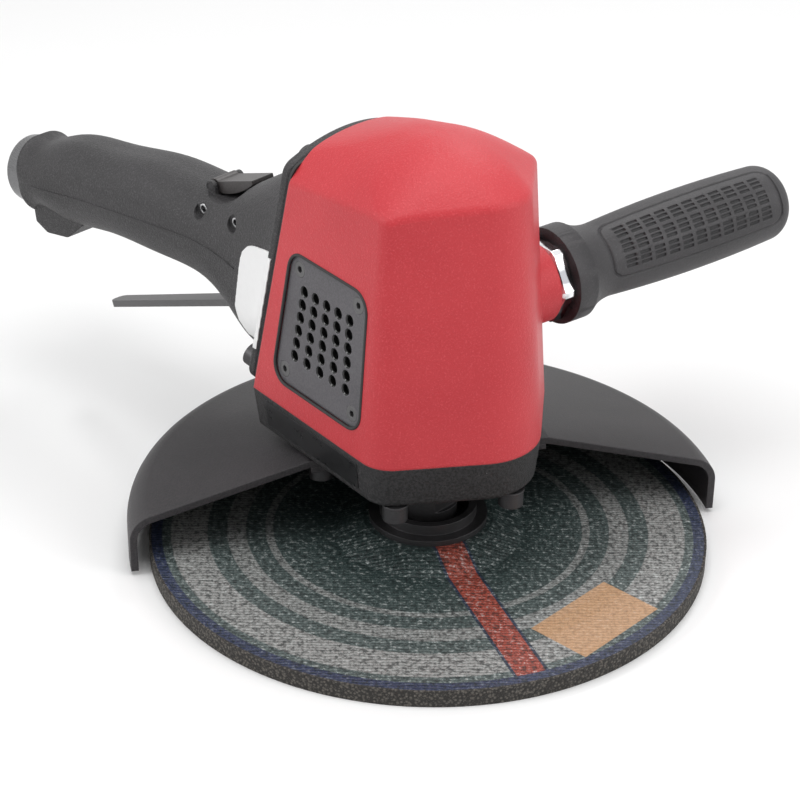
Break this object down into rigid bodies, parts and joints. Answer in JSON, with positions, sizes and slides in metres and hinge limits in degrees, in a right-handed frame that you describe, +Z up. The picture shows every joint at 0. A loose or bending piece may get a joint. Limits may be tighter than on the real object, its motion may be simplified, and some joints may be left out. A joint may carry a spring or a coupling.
{
  "type": "vertical grinder",
  "caption": "Vertical air grinder: domed motor housing over a depressed-centre wheel with a half guard, throttle handle with squeeze lever, and a dead handle at the side.",
  "frame": {"origin": "where the spindle axis meets the plane of the wheel's grinding face", "axes": "+Z up along the spindle axis away from the work, -X towards the throttle handle's inlet, -Y on the exhaust plate's side"},
  "size_m": [0.3665, 0.2927, 0.1826],
  "materials": {
    "red_paint": "satin, fine grain",
    "dark_casting": "cast texture, satin",
    "dark_sheet": "satin",
    "dark_plate": "satin",
    "moulded_plastic": "fine speckle",
    "bright_chrome": "polished",
    "grey_metal": "satin",
    "brown_grey_plastic": "satin",
    "abrasive": "gritty, glass mesh under a printed face",
    "black_steel": "black oxide",
    "bare_steel": "ground",
    "brass": "turned",
    "rubber": "matt",
    "vane_laminate": "matt",
    "felt": "open felt"
  },
  "bodies": {
    "housing": {"motor_housing": "red_paint", "base_housing": "dark_casting", "guard": "dark_sheet", "guard_clamp_plate": "dark_sheet", "exhaust_plate": "dark_plate", "throttle_handle": "moulded_plastic", "dead_handle_grip": "moulded_plastic", "dead_handle_collar": "bright_chrome", "inlet_bushing": "grey_metal", "base_screws": "black_steel", "base_washers": "black_steel", "exhaust_screws": "black_steel", "flange_screws": "black_steel", "lower_bearing": "bare_steel", "upper_bearing": "bare_steel", "bearing_retainer": "bare_steel", "preload_washer": "bare_steel", "cylinder": "bare_steel", "lower_end_plate": "bare_steel", "upper_end_plate": "bare_steel", "valve_spring": "bare_steel", "lever_pin": "bare_steel", "lock_pin": "bare_steel", "neck_spring_pins": "bare_steel", "dead_handle_stud": "bare_steel", "inlet_screen": "bare_steel", "valve_bushing": "brass", "spindle_seal": "rubber", "handle_gasket": "rubber", "silencer_felt": "felt"},
    "spindle": {"spindle": "bare_steel", "rotor": "bare_steel", "rotor_key": "bare_steel", "vanes": "vane_laminate", "lower_inner_ring": "bare_steel", "upper_inner_ring": "bare_steel", "inner_flange": "black_steel", "grinding_wheel": "abrasive", "flange_nut": "black_steel"},
    "throttle_lever": {"throttle_lever": "grey_metal"},
    "throttle_valve": {"throttle_valve": "bare_steel", "valve_seal": "rubber"},
    "lock_lever": {"lock_lever": "brown_grey_plastic"}
  },
  "joints": [
    {"name": "spindle_spin", "type": "hinge", "parent": "housing", "child": "spindle", "pos_m": [0, 0, 0], "axis": [0, 0, 1], "continuous": true},
    {"name": "throttle_lever", "type": "hinge", "parent": "housing", "child": "throttle_lever", "pos_m": [-0.084, 0, 0.082], "axis": [0, 1, 0], "range_deg": [0, 14.5], "stiffness_Nm_per_rad": 0.6},
    {"name": "throttle_valve", "type": "slide", "parent": "housing", "child": "throttle_valve", "axis": [0, 0, 1], "range_m": [0, 0.0045], "deforming": ["valve_spring"]},
    {"name": "lock_lever", "type": "hinge", "parent": "housing", "child": "lock_lever", "pos_m": [-0.118, 0, 0.1252], "axis": [0, 1, 0], "range_deg": [0, 5], "stiffness_Nm_per_rad": 0.3}
  ],
  "couplings": [
    {"joint": "throttle_valve", "follows": "throttle_lever", "m_per_rad": 0.017}
  ]
}
